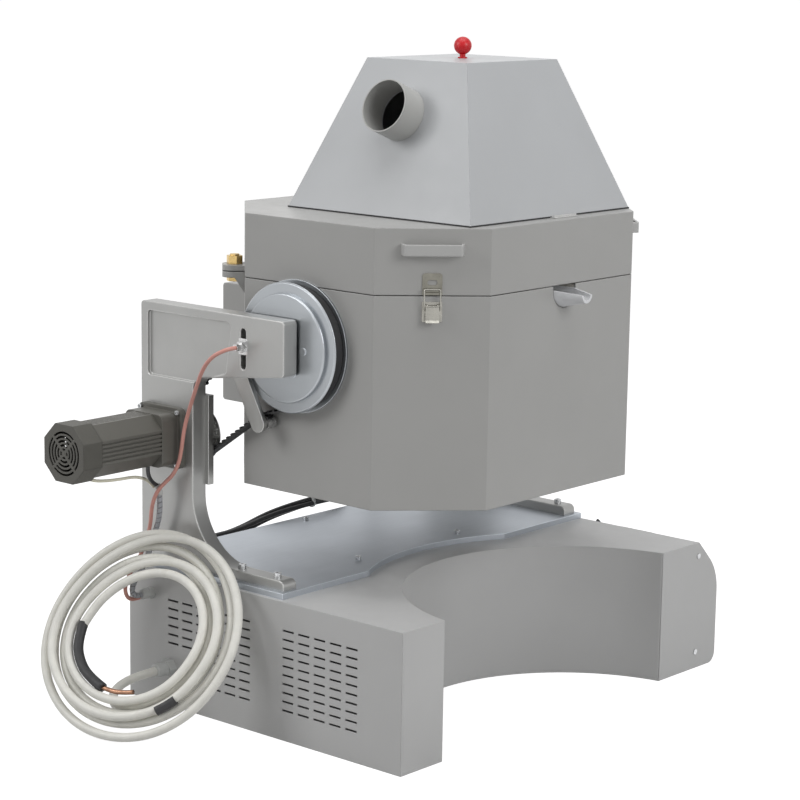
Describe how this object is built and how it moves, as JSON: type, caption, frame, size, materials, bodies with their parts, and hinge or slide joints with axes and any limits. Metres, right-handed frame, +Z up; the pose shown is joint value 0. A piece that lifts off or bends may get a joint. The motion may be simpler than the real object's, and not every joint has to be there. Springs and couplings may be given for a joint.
{
  "type": "tilting melting furnace",
  "caption": "Eight-sided electric melting furnace with lid, hood and pouring spout, tilted by a belt drive between two brackets on a cabinet with a round bay for the mould",
  "frame": {"origin": "on the floor, below the middle of the tilt axis", "axes": "+Z up, +X to the control face, -Y to the pouring side"},
  "size_m": [1.1062, 0.7746, 1.1363],
  "materials": {
    "cabinet_paint": "satin grey powder coat",
    "furnace_paint": "satin silver-grey powder coat",
    "motor_paint": "dark grey paint",
    "dark_metal": "black anodised",
    "plate_metal": "satin milled",
    "panel_metal": "brushed",
    "screw_steel": "bright zinc",
    "bearing_steel": "ground",
    "latch_steel": "nickel plated",
    "yellow_zinc": "yellow zinc plated",
    "belt_rubber": "matt black",
    "graphite": "fine-grained graphite",
    "fibre_lining": "pressed ceramic fibre",
    "heater_ceramic": "unglazed ceramic",
    "green_plastic": "gloss",
    "yellow_plastic": "gloss",
    "red_plastic": "gloss",
    "black_plastic": "matt",
    "gland_plastic": "moulded",
    "white_cable": "smooth sheath",
    "black_cable": "smooth sheath",
    "signal_cable": "smooth sheath"
  },
  "bodies": {
    "root": {"base_floor": "cabinet_paint", "cabinet_shell": "cabinet_paint", "left_vent_panel": "cabinet_paint", "right_end_cover": "cabinet_paint", "top_plate": "plate_metal", "cap_screws": "screw_steel", "control_panel": "panel_metal", "temperature_controller": "black_plastic", "power_controller": "dark_metal", "left_bracket": "plate_metal", "right_bracket": "plate_metal", "trunnion_bearings": "bearing_steel", "tilt_belt": "belt_rubber", "tensioner_plate": "plate_metal", "motor_plate": "plate_metal", "gearbox": "motor_paint", "motor_body": "motor_paint", "fan_cover": "motor_paint", "proximity_sensor": "bearing_steel", "cable_glands": "gland_plastic", "mains_lead": "white_cable", "mains_coil": "white_cable", "mains_end": "black_cable", "signal_cables": "signal_cable", "power_cables": "black_cable"},
    "furnace": {"furnace_casing": "furnace_paint", "casing_insulation": "fibre_lining", "crucible": "graphite", "crucible_stand": "fibre_lining", "heating_elements": "heater_ceramic", "thermocouple": "heater_ceramic", "terminal_cover": "furnace_paint", "pouring_spout": "heater_ceramic", "belt_wheel": "plate_metal", "left_trunnion": "plate_metal", "right_trunnion": "plate_metal", "pivot_bracket": "furnace_paint", "pivot_bolt": "yellow_zinc", "latch_bases": "latch_steel", "cover_gland": "black_plastic", "power_cable_tail": "black_cable"},
    "lid": {"lid_casing": "furnace_paint", "lid_insulation": "fibre_lining", "lid_handles": "furnace_paint", "latch_keepers": "latch_steel"},
    "hood": {"hood_shell": "furnace_paint", "exhaust_collar": "furnace_paint", "hood_knob": "red_plastic"},
    "left_lever": {"left_latch_lever": "latch_steel"},
    "left_bail": {"left_latch_bail": "latch_steel"},
    "right_lever": {"right_latch_lever": "latch_steel"},
    "right_bail": {"right_latch_bail": "latch_steel"},
    "drive": {"output_shaft": "bearing_steel", "drive_pulley": "plate_metal"},
    "idler": {"idler_roller": "bearing_steel"},
    "fan": {"motor_fan": "black_plastic"},
    "switch": {"power_switch": "black_plastic"},
    "forward_button": {"tilt_forward_button": "green_plastic"},
    "back_button": {"tilt_back_button": "yellow_plastic"},
    "stop": {"emergency_stop": "red_plastic"}
  },
  "joints": [
    {"name": "furnace_tilt", "type": "hinge", "parent": "root", "child": "furnace", "pos_m": [0, 0, 0.64], "axis": [1, 0, 0], "range_deg": [0, 95]},
    {"name": "drive_turn", "type": "hinge", "parent": "root", "child": "drive", "pos_m": [-0.337, 0.225, 0.463], "axis": [1, 0, 0], "range_deg": [0, 215.91]},
    {"name": "idler_turn", "type": "hinge", "parent": "root", "child": "idler", "pos_m": [-0.337, 0.054, 0.508], "axis": [1, 0, 0], "range_deg": [-801, 0]},
    {"name": "fan_spin", "type": "hinge", "parent": "root", "child": "fan", "pos_m": [-0.598, 0.243, 0.467], "axis": [1, 0, 0], "continuous": true},
    {"name": "lid_swing", "type": "hinge", "parent": "furnace", "child": "lid", "pos_m": [-0.26802, 0.20102, 0.745], "axis": [0, 0, 1], "range_deg": [0, 110]},
    {"name": "hood_lift", "type": "slide", "parent": "lid", "child": "hood", "axis": [0, 0, 1], "range_m": [0, 0.35]},
    {"name": "left_lever_swing", "type": "hinge", "parent": "furnace", "child": "left_lever", "pos_m": [-0.25954, -0.23254, 0.724], "axis": [-0.7071, 0.7071, 0], "range_deg": [0, 120]},
    {"name": "left_bail_swing", "type": "hinge", "parent": "left_lever", "child": "left_bail", "pos_m": [-0.2613, -0.2343, 0.716], "axis": [-0.7071, 0.7071, 0], "range_deg": [-120, 0]},
    {"name": "right_lever_swing", "type": "hinge", "parent": "furnace", "child": "right_lever", "pos_m": [0.25954, -0.23254, 0.724], "axis": [-0.7071, -0.7071, 0], "range_deg": [0, 120]},
    {"name": "right_bail_swing", "type": "hinge", "parent": "right_lever", "child": "right_bail", "pos_m": [0.2613, -0.2343, 0.716], "axis": [-0.7071, -0.7071, 0], "range_deg": [-120, 0]},
    {"name": "power_switch_turn", "type": "hinge", "parent": "root", "child": "switch", "pos_m": [0.42053, -0.07, 0.21746], "axis": [0.7071, 0, 0.7071], "range_deg": [0, 90]},
    {"name": "tilt_forward_press", "type": "slide", "parent": "root", "child": "forward_button", "axis": [-0.7071, 0, -0.7071], "range_m": [0, 0.0025], "stiffness_N_per_m": 400},
    {"name": "tilt_back_press", "type": "slide", "parent": "root", "child": "back_button", "axis": [-0.7071, 0, -0.7071], "range_m": [0, 0.0025], "stiffness_N_per_m": 400},
    {"name": "emergency_press", "type": "slide", "parent": "root", "child": "stop", "axis": [-0.7071, 0, -0.7071], "range_m": [0, 0.005], "stiffness_N_per_m": 800}
  ],
  "couplings": [
    {"joint": "drive_turn", "follows": "furnace_tilt", "ratio": 2.2727},
    {"joint": "idler_turn", "follows": "furnace_tilt", "ratio": -8.421},
    {"joint": "left_bail_swing", "follows": "left_lever_swing", "ratio": -1},
    {"joint": "right_bail_swing", "follows": "right_lever_swing", "ratio": -1}
  ]
}
